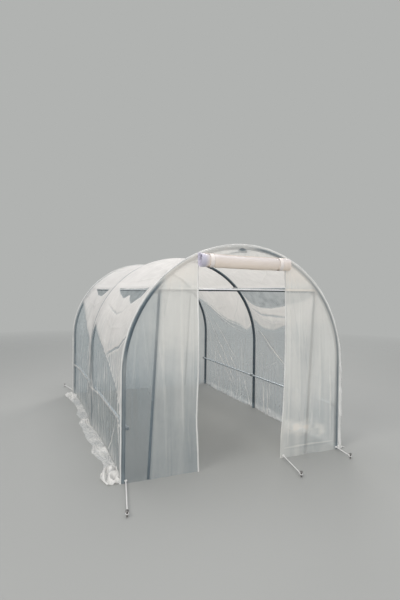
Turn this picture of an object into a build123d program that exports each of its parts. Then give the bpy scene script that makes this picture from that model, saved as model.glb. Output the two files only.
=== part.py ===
from build123d import *
import math
import os

# A small garden polytunnel: three tube hoops, rails along them, and a skin of thin film.
# Frame: millimetres, origin at the centre of the footprint on the ground,
# +Z up, +Y from the door end to the far end, +X to the right for someone facing the door.

# Hoops
tunnel_width = 2000.0          # between the centre lines of the two legs of a hoop
bay_length = 1525.0            # from one hoop to the next
leg_height = 820.0             # straight leg, from the ground to the start of the bend
hoop_diameter = 32.0           # outside of the hoop tube
tube_flats = 8                 # flats round a bent tube, and round the channel that holds a tube

# Rails that run along the tunnel
rail_diameter = 18.0           # purlins, ridge and lower side rails
rail_height = 412.0            # centre of the lower side rails above the ground
purlin_angle = 46.5            # place of the purlins on the bend, in degrees from the crown
rail_overhang = 9.0            # how far a rail's end stands past the centre of an end hoop

# Frame across each end, knocked askew so that both uprights lean
bar_diameter = 22.0            # crossbar and uprights
left_upright_top_inset = 2.0   # under the crossbar, from its end
left_upright_foot_inset = 197.0  # on the ground, from the hoop's leg
right_upright_top_inset = -6.0
right_upright_foot_inset = 343.0

# Clamps
clamp_wall = 4.0               # material round the tubes that a clamp holds
clamp_web = 3.0                # material between two tubes that a clamp holds
clamp_lip = 10.0               # how far a clamp on an end hoop reaches towards the film
clamp_bevel = 4.0
rail_clamp_length = 26.0       # along the hoop
crown_joiner_length = 72.0     # along the hoop, over the joint of its two halves
corner_reach = 24.0            # how far a corner fitting covers the end of the crossbar
corner_drop = 20.0             # how far it covers the top of the upright

# Film
film_thickness = 2.0           # a body for the film, whose real gauge is 0.2
roof_flats = 20                # flats of the cover between the purlins
wall_flats = 10                # flats from a purlin down to the start of the bend
door_width = 800.0             # between the two jambs
door_head_drop = 156.0         # from the top of the end film down to where the rolled film starts
hem_width = 15.0               # folded edge of the film along each jamb
hem_ply = 1.5                  # thickness of one side of that fold
skirt_width = 140.0            # spare film laid out on the ground along each side
seam_width = 10.0              # welded edge that stands out round each end
seam_thickness = 4.0

# Rolled door, tied a little off centre and slightly aslant
roll_diameter = 108.0
roll_turns = 4
roll_ply = 4.6                 # several layers of film lie together in each turn
roll_ply_gap = 0.8
roll_hanger = 62.0             # film that hangs the roll, from the roll's centre up
roll_left_overlap = 32.0       # how far each end of the roll stands past its jamb
roll_right_overlap = 12.0
roll_left_drop = 120.0         # from the crown's centre line down to the centre of each end
roll_right_drop = 134.0
tie_width = 36.0
tie_thickness = 2.5
left_tie_inset = 70.0          # from the jamb
right_tie_inset = 92.0
tie_top_drop = 12.0            # from the edge of the end film down to the end of a tie
tie_flats = 20                 # flats of a tie round the roll

# Ground ties: a cord from the foot of the film to a peg
cord_diameter = 9.0
cord_flats = 8                 # flats round a cord, a knot or a peg
cord_height = 24.0
knot_diameter = 20.0
knot_length = 16.0
peg_diameter = 11.0
peg_height = 46.0
peg_head_diameter = 24.0
peg_head_thickness = 7.0
corner_knot_inset = 15.0       # from the hoop's leg
left_peg_outset = 85.0         # from the hoop's leg
left_peg_distance = 500.0      # from the centre of the end hoop
jamb_peg_inset = 78.0          # from the jamb
jamb_peg_distance = 408.0
right_peg_inset = 45.0         # from the hoop's leg
right_peg_distance = 250.0

# Clearances
seat_gap = 0.3                 # between a piece and what carries it
butt_gap = 0.2                 # between two edges that meet

# Derived sizes and places
hoop_radius = tunnel_width / 2
tube_radius = hoop_diameter / 2
rail_radius = rail_diameter / 2
bar_radius = bar_diameter / 2
roll_radius = roll_diameter / 2
tube_spacing = 2 * seat_gap + clamp_web
rail_track = hoop_radius - tube_radius - tube_spacing - rail_radius
purlin_across = rail_track * math.sin(math.radians(purlin_angle))
purlin_height = leg_height + rail_track * math.cos(math.radians(purlin_angle))
ridge_height = leg_height + rail_track
bar_height = purlin_height - rail_radius - tube_spacing - bar_radius
bar_reach = math.sqrt(
    (hoop_radius - tube_radius - tube_spacing) ** 2 - (bar_height + bar_radius - leg_height) ** 2
)
upright_height = bar_height - bar_radius - tube_spacing
skin_inside = hoop_radius + tube_radius + seat_gap
skin_outside = skin_inside + film_thickness
film_sag = skin_inside - rail_track - rail_radius - seat_gap  # slack film sinks until it lies on the rails
cover_end = bay_length + tube_radius
end_film_inside = cover_end + seat_gap
end_film_outside = end_film_inside + film_thickness
crown_height = leg_height + hoop_radius
door_head = leg_height + skin_outside - door_head_drop
jamb_place = door_width / 2
hem_inside = end_film_inside - seat_gap - hem_ply
hem_outside = end_film_outside + seat_gap + hem_ply
roll_depth = end_film_outside + 3 * seat_gap + tie_thickness + roll_radius
sides = {"left": -1, "right": 1}
hoop_places = {"front": -bay_length, "middle": 0.0, "rear": bay_length}
upright_places = {
    "left": (left_upright_foot_inset - hoop_radius, left_upright_top_inset - bar_reach),
    "right": (hoop_radius - right_upright_foot_inset, bar_reach - right_upright_top_inset),
}

os.makedirs("parts", exist_ok=True)


def save(piece, name):
    """Label a finished piece and write it."""
    piece.part.label = name
    export_step(piece.part, f"parts/{name}.step")


def group(pieces):
    """Like pieces that don't touch, kept together."""
    with BuildPart() as together:
        for piece in pieces:
            add(piece.part)
    return together


def cross_plane(y):
    """The upright plane across the tunnel at this depth, with +X across and +Z up."""
    return Plane(origin=(0, y, 0), x_dir=(1, 0, 0), z_dir=(0, -1, 0))


# Tubes


def half_hoop(side, y, diameter, end_gap):
    """One leg and a quarter circle, from the ground to the crown."""
    quarter = 90 - math.degrees(end_gap / hoop_radius)
    foot_angle = 0 if side > 0 else 180
    with BuildPart() as tube:
        with BuildLine(cross_plane(y)):
            Line((side * hoop_radius, 0), (side * hoop_radius, leg_height))
            CenterArc((0, leg_height), hoop_radius, foot_angle, side * quarter)
        with BuildSketch(Plane.XY):
            with Locations((side * hoop_radius, y)):
                RegularPolygon(diameter / 2, tube_flats)
        sweep()
    return tube


def straight_section(radius, gap):
    """A round in the current sketch or, with a gap, the flats of the channel that holds that round."""
    if gap:
        RegularPolygon(radius + gap, tube_flats, major_radius=False, rotation=180 / tube_flats)
    else:
        Circle(radius)


def rail(x, z, gap=0):
    """A straight tube along the whole tunnel."""
    with BuildPart() as tube:
        with BuildSketch(Plane.XZ):
            with Locations((x, z)):
                straight_section(rail_radius, gap)
        extrude(amount=bay_length + rail_overhang, both=True)
    return tube


def bar(y, gap=0):
    """The crossbar, between the two legs of a hoop."""
    with BuildPart() as tube:
        with BuildSketch(Plane.YZ):
            with Locations((y, bar_height)):
                straight_section(bar_radius, gap)
        extrude(amount=bar_reach + gap, both=True)
    return tube


def upright(side_name, y, gap=0):
    """A leaning tube, cut level at the ground and under the crossbar."""
    foot, top = upright_places[side_name]
    lean = Vector(top - foot, 0, upright_height)
    below = lean.normalized() * bar_diameter
    with BuildPart() as tube:
        with BuildSketch(Plane(origin=Vector(foot, y, 0) - below, z_dir=lean.normalized())):
            straight_section(bar_radius, gap)
        extrude(amount=lean.length + 2 * bar_diameter)
        split(bisect_by=Plane.XY, keep=Keep.TOP)
        split(bisect_by=Plane.XY.offset(upright_height + gap), keep=Keep.BOTTOM)
    return tube


# Rooms: what a tube takes up with the clearance round it, cut from the pieces that hold it.
# A straight tube's room is the tube's own function with a gap.


def hoop_room(y):
    with BuildPart() as room:
        with BuildLine(cross_plane(y)):
            Line((hoop_radius, 0), (hoop_radius, leg_height))
            CenterArc((0, leg_height), hoop_radius, 0, 180)
            Line((-hoop_radius, leg_height), (-hoop_radius, 0))
        with BuildSketch(Plane.XY):
            with Locations((hoop_radius, y)):
                RegularPolygon(tube_radius + seat_gap, tube_flats)
        sweep()
    return room


def cut_rooms(piece, rooms):
    """The piece with the rooms of the tubes that it holds cut out of it."""
    with BuildPart() as cut:
        add(piece.part)
        for room in rooms:
            add(room.part, mode=Mode.SUBTRACT)
    return cut


# Clamps


def clamp_span(place):
    """How far a clamp reaches before and behind its hoop; on an end hoop it stays behind the film."""
    whole = tube_radius + clamp_wall
    spans = {"front": (-clamp_lip, whole), "middle": (-whole, whole), "rear": (-whole, clamp_lip)}
    return spans[place]


def bend_seat(side, angle, y):
    """A plane on the hoop's centre line in the bend: its x runs along the hoop, its z inwards."""
    turn = math.radians(angle)
    outward = Vector(side * math.sin(turn), 0, math.cos(turn))
    along = Vector(math.cos(turn), 0, -side * math.sin(turn))
    return Plane(origin=Vector(0, y, leg_height) + outward * hoop_radius, x_dir=along, z_dir=-outward)


def leg_seat(side, y):
    """The same kind of plane on the straight leg, at the side rail."""
    return Plane(origin=(side * hoop_radius, y, rail_height), x_dir=(0, 0, side), z_dir=(-side, 0, 0))


def cross_clamp(seat, length, place):
    """A block over the inner half of a hoop and the rail that crosses it."""
    before, behind = clamp_span(place)
    depth = tube_radius + tube_spacing + rail_diameter + clamp_wall
    flip = 1 if seat.y_dir.Y > 0 else -1
    with BuildPart() as clamp:
        with BuildSketch(seat) as outline:
            with Locations((0, flip * (before + behind) / 2)):
                Rectangle(length, behind - before)
            chamfer(outline.vertices(), clamp_bevel)
        extrude(amount=depth)
    return clamp


def corner_block(side, place):
    """A block over the corner where crossbar, upright and purlin meet an end hoop."""
    before, behind = clamp_span(place)
    low = upright_height - corner_drop
    high = purlin_height + rail_radius + clamp_wall
    inner = bar_reach - corner_reach
    outer = bar_reach + hoop_diameter
    with BuildPart() as block:
        with BuildSketch(cross_plane(hoop_places[place] + before)) as outline:
            with Locations((side * (inner + outer) / 2, (low + high) / 2)):
                Rectangle(outer - inner, high - low)
            chamfer(outline.vertices(), clamp_bevel)
            with Locations((0, leg_height)):
                Circle(hoop_radius, mode=Mode.INTERSECT)
        extrude(amount=before - behind)
    return block


# Film


def end_film(y, thickness, left, right, bottom):
    """Flat film across an end of the tunnel, between two uprights of its outline."""
    top = leg_height + skin_outside
    with BuildPart() as film:
        with BuildSketch(cross_plane(y)):
            with BuildLine():
                Line((-skin_outside, 0), (skin_outside, 0))
                Line((skin_outside, 0), (skin_outside, leg_height))
                CenterArc((0, leg_height), skin_outside, 0, 180)
                Line((-skin_outside, leg_height), (-skin_outside, 0))
            make_face()
            with Locations(((left + right) / 2, (bottom + top) / 2)):
                Rectangle(right - left, top - bottom, mode=Mode.INTERSECT)
        extrude(amount=thickness)
    return film


def on_bend(radius, angle):
    """A point across the tunnel, on a bend of this radius, at this angle from the crown."""
    turn = math.radians(angle)
    return (radius * math.sin(turn), leg_height + radius * math.cos(turn))


def flat_bend(radius, from_angle, to_angle, flats):
    """Points of a bend made of flats that touch this radius at their middles."""
    half_turn = (to_angle - from_angle) / flats / 2
    corner_radius = radius / math.cos(math.radians(half_turn))
    corners = [on_bend(corner_radius, from_angle + half_turn * (2 * flat + 1)) for flat in range(flats)]
    return [on_bend(radius, from_angle)] + corners + [on_bend(radius, to_angle)]


def roof_line(radius):
    """A skin of the cover from purlin to purlin."""
    seam = purlin_angle - math.degrees(butt_gap / 2 / skin_inside)
    return flat_bend(radius, -seam, seam, roof_flats)


def wall_line(side, radius):
    """A skin of the cover from a purlin to the ground."""
    seam = purlin_angle + math.degrees(butt_gap / 2 / skin_inside)
    bend = flat_bend(radius, seam, 90, wall_flats)[:-1]
    return [(side * x, z) for x, z in bend + [(radius, 0)]]


def cover_film(skin_line):
    """A stretch of the cover, drawn in between the hoops until it lies along the rails."""
    third = bay_length / 3
    places = [(-cover_end, 0), (-bay_length, 0)]
    for hoop in (-bay_length, 0):
        places += [(hoop + third, film_sag), (hoop + 2 * third, film_sag), (hoop + bay_length, 0)]
    places.append((cover_end, 0))
    with BuildPart() as film:
        for y, sag in places:
            outer = skin_line(skin_outside - sag)
            inner = skin_line(skin_inside - sag)
            with BuildSketch(cross_plane(y)):
                with BuildLine():
                    Polyline(*outer, *reversed(inner), close=True)
                make_face()
        loft(ruled=True)
    return film


def end_seam(y, thickness):
    """The welded edge that joins an end film to the cover, from the ground over the crown."""
    inner = skin_outside + butt_gap
    outer = inner + seam_width
    with BuildPart() as seam:
        with BuildSketch(cross_plane(y)):
            with BuildLine():
                for radius in (inner, outer):
                    Line((radius, 0), (radius, leg_height))
                    CenterArc((0, leg_height), radius, 0, 180)
                    Line((-radius, leg_height), (-radius, 0))
                for side in sides.values():
                    Line((side * inner, 0), (side * outer, 0))
            make_face()
        extrude(amount=thickness)
    return seam


def ground_skirt(side):
    """Spare film laid flat on the ground beside the wall."""
    with BuildPart() as film:
        with BuildSketch(Plane.XY):
            with Locations((side * (skin_outside + seat_gap + skirt_width / 2), 0)):
                Rectangle(skirt_width, 2 * cover_end)
        extrude(amount=film_thickness)
    return film


def jamb_hem(side):
    """The film's edge beside the doorway, folded back on both faces."""
    edge = side * (jamb_place - seat_gap - hem_ply)
    back = side * (jamb_place + hem_width)
    fold = side * (jamb_place - seat_gap)
    with BuildPart() as hem:
        with BuildSketch(Plane.XY):
            with Locations(((edge + back) / 2, -(hem_inside + hem_outside) / 2)):
                Rectangle(abs(back - edge), hem_outside - hem_inside)
            with Locations(((fold + back) / 2, -(end_film_inside + end_film_outside) / 2)):
                Rectangle(abs(back - fold), film_thickness + 2 * seat_gap, mode=Mode.SUBTRACT)
        extrude(amount=door_head - seat_gap)
    return hem


# Rolled door

roll_start = Vector(-jamb_place - roll_left_overlap, -roll_depth, crown_height - roll_left_drop)
roll_end = Vector(jamb_place + roll_right_overlap, -roll_depth, crown_height - roll_right_drop)
roll_run = roll_end - roll_start


def rolled_film():
    """The door film: half turns of growing radius about two centres, and the film that hangs them."""
    pitch = roll_ply + roll_ply_gap
    outermost = roll_radius - roll_ply
    with BuildPart() as roll:
        with BuildSketch(Plane(origin=roll_start, x_dir=(0, 1, 0), z_dir=roll_run.normalized())):
            for turn in range(roll_turns):
                radius = outermost - turn * pitch
                with BuildLine():
                    under_out = CenterArc((0, 0), radius + roll_ply, 180, 180)
                    under_in = CenterArc((0, 0), radius, 180, 180)
                    Line(under_out @ 0, under_in @ 0)
                    Line(under_out @ 1, under_in @ 1)
                make_face()
                with BuildLine():
                    over_out = CenterArc((-pitch / 2, 0), radius - pitch / 2 + roll_ply, 0, 180)
                    over_in = CenterArc((-pitch / 2, 0), radius - pitch / 2, 0, 180)
                    Line(over_out @ 0, over_in @ 0)
                    Line(over_out @ 1, over_in @ 1)
                make_face()
            with Locations((outermost + roll_ply / 2, roll_hanger / 2)):
                Rectangle(roll_ply, roll_hanger)
        extrude(amount=roll_run.length)
    return roll


def roll_tie(x):
    """A strap down behind the hanging film, round under the roll and back over it to that film."""
    share = (x - roll_start.X) / roll_run.X
    middle = roll_start + roll_run * share
    slant = abs(roll_run.Z / roll_run.X) * tie_width / 2
    inside = roll_radius + slant + seat_gap
    outside = inside + tie_thickness
    hanging_film = roll_radius - roll_ply - seat_gap
    tail_back = end_film_outside + seat_gap
    tail_top = leg_height + math.sqrt(skin_outside**2 - x**2) - tie_top_drop
    with BuildPart() as tie:
        with BuildSketch(Plane(origin=middle, x_dir=(0, 1, 0), z_dir=(1, 0, 0))):
            flat_turn = 180 / tie_flats
            RegularPolygon(outside, tie_flats, major_radius=False, rotation=flat_turn)
            RegularPolygon(inside, tie_flats, major_radius=False, rotation=flat_turn, mode=Mode.SUBTRACT)
            with Locations((hanging_film, 0)):
                Rectangle(roll_radius, roll_radius * 2, align=(Align.MIN, Align.MIN), mode=Mode.SUBTRACT)
        extrude(amount=tie_width / 2, both=True)
        with BuildSketch(cross_plane(-tail_back)):
            with Locations((x, (middle.Z + tail_top) / 2)):
                Rectangle(tie_width, tail_top - middle.Z)
        extrude(amount=tie_thickness)
    return tie


# Ground ties


def peg(x, y):
    """The part of a ground peg that stands out of the soil."""
    with BuildPart() as pin:
        with BuildSketch(Plane.XY):
            with Locations((x, y)):
                RegularPolygon(peg_diameter / 2, cord_flats)
        extrude(amount=peg_height)
        with BuildSketch(Plane.XY.offset(peg_height)):
            with Locations((x, y)):
                RegularPolygon(peg_head_diameter / 2, cord_flats)
        extrude(amount=-peg_head_thickness)
    return pin


def tie_cord(knot_x, knot_y, peg_x, peg_y):
    """A taut cord from a knot in the film to a peg."""
    knot = Vector(knot_x, knot_y, cord_height)
    run = Vector(peg_x, peg_y, cord_height) - knot
    with BuildPart() as cord:
        with BuildSketch(cross_plane(knot_y)):
            with Locations((knot_x, cord_height)):
                RegularPolygon(knot_diameter / 2, cord_flats)
        extrude(amount=knot_length / 2, both=True)
        with BuildSketch(Plane(origin=knot, z_dir=run.normalized())):
            RegularPolygon(cord_diameter / 2, cord_flats)
        extrude(amount=run.length)
        with BuildSketch(Plane.XY):
            with Locations((peg_x, peg_y)):
                RegularPolygon(peg_diameter / 2 + seat_gap, cord_flats)
        extrude(amount=peg_height, mode=Mode.SUBTRACT)
        split(bisect_by=Plane(origin=knot + run, z_dir=run.normalized()), keep=Keep.BOTTOM)
    return cord


# Hoops, each in two halves that meet at the crown
for place, y in hoop_places.items():
    for side_name, side in sides.items():
        save(half_hoop(side, y, hoop_diameter, butt_gap / 2), f"{place}_hoop_{side_name}_half")

# Rails
save(rail(0, ridge_height), "ridge_tube")
for side_name, side in sides.items():
    save(rail(side * purlin_across, purlin_height), f"{side_name}_purlin")
    save(rail(side * rail_track, rail_height), f"{side_name}_side_rail")

# Crossbar and uprights at each end
for place in ("front", "rear"):
    y = hoop_places[place]
    save(bar(y), f"{place}_crossbar")
    for side_name in sides:
        save(upright(side_name, y), f"{place}_{side_name}_upright")

# Crown joiners
for place, y in hoop_places.items():
    block = cross_clamp(bend_seat(1, 0, y), crown_joiner_length, place)
    rooms = [hoop_room(y), rail(0, ridge_height, seat_gap)]
    save(cut_rooms(block, rooms), f"{place}_crown_joiner")

# Clamps of the rails, and the corner fittings
for side_name, side in sides.items():
    rail_clamps = []
    for place, y in hoop_places.items():
        block = cross_clamp(leg_seat(side, y), rail_clamp_length, place)
        rooms = [hoop_room(y), rail(side * rail_track, rail_height, seat_gap)]
        rail_clamps.append(cut_rooms(block, rooms))
    save(group(rail_clamps), f"{side_name}_rail_clamps")

    purlin_room = rail(side * purlin_across, purlin_height, seat_gap)
    block = cross_clamp(bend_seat(side, purlin_angle, 0), rail_clamp_length, "middle")
    save(cut_rooms(block, [hoop_room(0), purlin_room]), f"{side_name}_purlin_clamp")

    fittings = []
    for place in ("front", "rear"):
        y = hoop_places[place]
        rooms = [hoop_room(y), purlin_room, bar(y, seat_gap), upright(side_name, y, seat_gap)]
        fittings.append(cut_rooms(corner_block(side, place), rooms))
    save(group(fittings), f"{side_name}_corner_fittings")

# Cover
save(cover_film(roof_line), "roof_sheet")
for side_name, side in sides.items():
    save(cover_film(lambda radius: wall_line(side, radius)), f"{side_name}_wall_sheet")
    save(ground_skirt(side), f"{side_name}_ground_skirt")

# End films, with the doorway between the front panels
edge = skin_outside
inset = jamb_place - butt_gap
save(end_film(-end_film_inside, film_thickness, -edge, -jamb_place, 0), "front_left_panel")
save(end_film(-end_film_inside, film_thickness, jamb_place, edge, 0), "front_right_panel")
save(end_film(-end_film_inside, film_thickness, -inset, inset, door_head), "front_top_panel")
save(end_film(end_film_inside, -film_thickness, -edge, edge, 0), "rear_end_sheet")
front_seam = end_seam(-end_film_inside, seam_thickness)
rear_seam = end_seam(end_film_inside, -seam_thickness)
save(group([front_seam, rear_seam]), "end_seams")
for side_name, side in sides.items():
    save(jamb_hem(side), f"{side_name}_jamb_hem")

# Rolled door and its ties
save(rolled_film(), "door_roll")
save(roll_tie(left_tie_inset - jamb_place), "left_roll_tie")
save(roll_tie(jamb_place - right_tie_inset), "right_roll_tie")

# Ground ties: the corners of both ends, and one jamb of the doorway
film_front = end_film_outside + seat_gap + knot_length / 2
hem_front = hem_outside + seat_gap + knot_length / 2
corner_knot = hoop_radius - corner_knot_inset
left_peg = -hoop_radius - left_peg_outset
right_peg = hoop_radius - right_peg_inset
jamb_knot = jamb_place + hem_width / 2
jamb_peg = jamb_place - jamb_peg_inset
corner_ties = [
    (-corner_knot, film_front, left_peg, bay_length + left_peg_distance),
    (corner_knot, film_front, right_peg, bay_length + right_peg_distance),
]
jamb_tie = (jamb_knot, hem_front, jamb_peg, bay_length + jamb_peg_distance)
end_ties = {"front": (-1, corner_ties + [jamb_tie]), "rear": (1, corner_ties)}
for place, (end, ties) in end_ties.items():
    cords = []
    pegs = []
    for knot_x, knot_distance, peg_x, peg_distance in ties:
        cords.append(tie_cord(knot_x, end * knot_distance, peg_x, end * peg_distance))
        pegs.append(peg(peg_x, end * peg_distance))
    save(group(cords), f"{place}_tie_cords")
    save(group(pegs), f"{place}_tie_pegs")
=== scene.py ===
import math

import bpy
import numpy as np
from mathutils import Euler, Matrix, Vector


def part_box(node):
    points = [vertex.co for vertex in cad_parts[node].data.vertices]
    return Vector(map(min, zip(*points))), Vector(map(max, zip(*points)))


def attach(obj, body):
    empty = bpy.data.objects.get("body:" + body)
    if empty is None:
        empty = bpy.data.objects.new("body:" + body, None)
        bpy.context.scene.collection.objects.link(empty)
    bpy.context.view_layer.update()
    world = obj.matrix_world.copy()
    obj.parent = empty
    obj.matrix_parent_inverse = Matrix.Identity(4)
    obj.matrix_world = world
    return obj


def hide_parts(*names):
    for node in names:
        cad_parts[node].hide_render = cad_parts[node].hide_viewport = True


# A small garden polytunnel: bent tube hoops under a slack, milky skin of thin film, with its door rolled up.
# Metres, +Z up, +Y from the door end to the far end, +X to the right for someone facing the door.

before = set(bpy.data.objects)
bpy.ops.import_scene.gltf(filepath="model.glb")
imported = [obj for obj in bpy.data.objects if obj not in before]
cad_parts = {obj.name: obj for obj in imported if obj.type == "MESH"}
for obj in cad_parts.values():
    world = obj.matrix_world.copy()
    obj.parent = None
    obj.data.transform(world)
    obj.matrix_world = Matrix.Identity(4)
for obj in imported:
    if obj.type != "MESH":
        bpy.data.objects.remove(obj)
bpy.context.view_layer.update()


# Places read from the frame

half_film = 0.001  # half the thickness of the film in the solids


def middle(node):
    low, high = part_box(node)
    return (low + high) / 2


hoop_low, hoop_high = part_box("front_hoop_left_half")
tube_radius = (hoop_high.y - hoop_low.y) / 2
hoop_radius = -hoop_low.x - tube_radius
leg_height = hoop_high.z - tube_radius - hoop_radius
bay = -middle("front_hoop_left_half").y
skin_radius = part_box("roof_sheet")[1].z - leg_height - half_film
cover_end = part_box("roof_sheet")[1].y
purlin = middle("right_purlin")
purlin_angle = math.atan2(purlin.x, purlin.z - leg_height)
rail_height = middle("right_side_rail").z
crossbar_height = middle("front_crossbar").z
front_plane = middle("front_left_panel").y
rear_plane = middle("rear_end_sheet").y
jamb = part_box("front_right_panel")[0].x
door_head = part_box("front_top_panel")[0].z
hoop_stations = {"front": -bay, "middle": 0.0, "rear": bay}
side_signs = {"left": -1, "right": 1}

# How far round the cover from its crown: the seam on the purlin, the spring line, the ground, the side rail
seam_s = skin_radius * purlin_angle
spring_s = skin_radius * math.pi / 2
ground_s = spring_s + leg_height
rail_s = ground_s - rail_height

# Sizes of the finish
cover_step = 0.011   # between points of the cover's films
panel_step = 0.01    # between points of the end films
skirt_step = 0.01    # between points of the spare film, along the tunnel
rail_room = 0.034    # from the skin in to the rails, where slack film comes to lie
deepest_sag = 0.075
roll_turns = 7
roll_core = 0.02    # radius of the hole down the middle of the rolled door
roll_hanger = 0.062  # film above the roll's centre, from which it hangs
roll_sag = 0.006
roll_squash = 0.05   # how far the roll is from round
tie_bite = 0.0045    # how deep the ties press into the roll
tape_width = 0.03384
tape_gauge = 0.0014
hem_width = 0.013
seam_gauge = 0.0028


# Camera, light and floor

camera_place = (-1.728, -4.722, 1.444)
camera_pitch = math.radians(88.97)
camera_turn = math.radians(-22.78)
camera_roll = math.radians(0.61)
camera_lens = 25.89
camera_sensor = 36.0
camera_reach = 200.0
backdrop_colour = (0.44, 0.45, 0.44, 1.0)
sky_colour = (0.9, 0.95, 1.0, 1.0)
sky_strength = 0.37
floor_colour = (0.335, 0.34, 0.33, 1.0)
floor_radius = 16.0
floor_height = -0.001
floor_fade = (3.5, 12.0)  # how far out the floor begins to fade, and where it is gone
# Place, aim, size, power and colour
lamps = {
    "key": ((-7.5, -5.0, 8.5), (0.0, 0.0, 0.8), 4.0, 420.0, (1.0, 0.97, 0.92)),
    "back": ((6.0, 8.0, 7.5), (0.0, 0.0, 1.0), 4.0, 480.0, (1.0, 0.97, 0.93)),
    "top": ((0.0, 0.0, 9.0), (0.0, 0.0, 0.0), 7.0, 480.0, (1.0, 0.98, 0.99)),
    "front": ((-3.0, -9.0, 3.0), (0.0, 0.0, 0.9), 4.0, 320.0, (1.0, 0.98, 0.96)),
}


def put(name, data):
    """A new object in the scene."""
    piece = bpy.data.objects.new(name, data)
    bpy.context.scene.collection.objects.link(piece)
    return piece


def make_camera():
    data = bpy.data.cameras.new("camera")
    data.lens, data.sensor_width, data.clip_end = camera_lens, camera_sensor, camera_reach
    camera = put("camera", data)
    aim = Euler((camera_pitch, 0.0, camera_turn)).to_matrix() @ Matrix.Rotation(camera_roll, 3, "Z")
    camera.matrix_world = Matrix.LocRotScale(Vector(camera_place), aim.to_quaternion(), None)
    bpy.context.scene.camera = camera


def make_lamp(name, place, target, size, power, colour):
    data = bpy.data.lights.new(name, "AREA")
    data.shape = "RECTANGLE"
    data.size = data.size_y = size
    data.energy, data.color = power, colour
    lamp = put(name, data)
    lamp.location = place
    lamp.rotation_euler = (Vector(target) - Vector(place)).to_track_quat("-Z", "Y").to_euler()
    lamp.visible_camera = False
    # The front lamp's mirror image would burn out the roof's crown from behind
    lamp.visible_glossy = name != "front"


class Shader:
    """Short calls for the nodes of one material or world."""

    def __init__(self, owner):
        owner.use_nodes = True
        self.tree = owner.node_tree
        self.tree.nodes.clear()

    def node(self, kind, settings=None, **inputs):
        """A new node. Inputs are named i0, i1 and so on by their number, or by name with _ for a space."""
        node = self.tree.nodes.new("ShaderNode" + kind)
        for name, value in (settings or {}).items():
            setattr(node, name, value)
        for name, value in inputs.items():
            numbered = name[0] == "i" and name[1:].isdigit()
            socket = node.inputs[int(name[1:]) if numbered else name.replace("_", " ")]
            if isinstance(value, bpy.types.NodeSocket):
                self.tree.links.new(value, socket)
            else:
                socket.default_value = value
        return node

    def math(self, operation, a, b):
        return self.node("Math", {"operation": operation}, i0=a, i1=b).outputs[0]

    def mix(self, share, a, b):
        """From colour a to colour b, each a socket or its red, green and blue."""
        a, b = (colour if isinstance(colour, bpy.types.NodeSocket) else (*colour, 1.0) for colour in (a, b))
        return self.node("Mix", {"data_type": "RGBA"}, i0=share, i6=a, i7=b).outputs[2]

    def noise(self, vector, scale, detail, roughness, distortion=0.0):
        sizes = {"Scale": scale, "Detail": detail, "Roughness": roughness, "Distortion": distortion}
        return self.node("TexNoise", Vector=vector, **sizes).outputs["Fac"]

    def remap(self, value, low, high, to_low=0.0, to_high=1.0):
        ends = {"From_Min": low, "From_Max": high, "To_Min": to_low, "To_Max": to_high}
        return self.node("MapRange", {"clamp": True}, Value=value, **ends).outputs["Result"]

    def place(self):
        return self.node("TexCoord").outputs["Object"]

    def stretched(self, scale):
        return self.node("Mapping", Vector=self.place(), Scale=scale).outputs["Vector"]

    def facing_up(self):
        """From -1 where a surface faces the ground to 1 where it faces the sky."""
        return self.node("SeparateXYZ", Vector=self.node("NewGeometry").outputs["Normal"]).outputs["Z"]

    def bump(self, height, strength, distance):
        return self.node("Bump", Height=height, Strength=strength, Distance=distance).outputs["Normal"]

    def finish(self, surface, kind="OutputMaterial"):
        self.node(kind, Surface=surface)

    def finish_film(self, colour, bump, roughness, specular, glow, opacity):
        """Film with a shine, which glows a little with light from behind and lets things show through."""
        looks = {"Roughness": roughness, "Specular_IOR_Level": specular, "Normal": bump}
        skin = self.node("BsdfPrincipled", Base_Color=colour, **looks).outputs[0]
        lit = self.node("BsdfTranslucent", Color=colour, Normal=bump).outputs[0]
        body = self.node("MixShader", i0=glow, i1=skin, i2=lit).outputs[0]
        clear = self.node("BsdfTransparent").outputs[0]
        self.finish(self.node("MixShader", i0=opacity, i1=clear, i2=body).outputs[0])


def make_world():
    """Soft light from all round, and a plain backdrop for the camera."""
    world = bpy.data.worlds.new("studio")
    bpy.context.scene.world = world
    s = Shader(world)
    path = s.node("LightPath").outputs
    seen = s.math("MAXIMUM", path["Is Camera Ray"], path["Is Transmission Ray"])
    light = s.node("Background", Color=sky_colour, Strength=sky_strength).outputs[0]
    backdrop = s.node("Background", Color=backdrop_colour, Strength=1.0).outputs[0]
    s.finish(s.node("MixShader", i0=seen, i1=light, i2=backdrop).outputs[0], "OutputWorld")


def make_floor():
    """A round floor that fades into the backdrop."""
    mesh = bpy.data.meshes.new("floor")
    turns = np.linspace(0, 2 * math.pi, 96, False)
    rim = [(floor_radius * math.cos(t), floor_radius * math.sin(t), floor_height) for t in turns]
    mesh.from_pydata(rim, [], [list(range(len(rim)))])
    floor = put("floor", mesh)
    s = new_material("floor")
    distance = s.node("VectorMath", {"operation": "LENGTH"}, i0=s.place()).outputs["Value"]
    ground = s.node("BsdfPrincipled", Base_Color=floor_colour, Roughness=0.9).outputs[0]
    clear = s.node("BsdfTransparent").outputs[0]
    s.finish(s.node("MixShader", i0=s.remap(distance, *floor_fade), i1=ground, i2=clear).outputs[0])
    mesh.materials.append(finishes["floor"])


def make_studio():
    scene = bpy.context.scene
    scene.view_settings.view_transform = "Standard"
    scene.cycles.transparent_max_bounces = 40
    make_camera()
    make_world()
    make_floor()
    for name, settings in lamps.items():
        make_lamp(name, *settings)


# Materials


finishes = {}  # filled below, by name


def new_material(name):
    finishes[name] = bpy.data.materials.new(name)
    return Shader(finishes[name])


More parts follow.
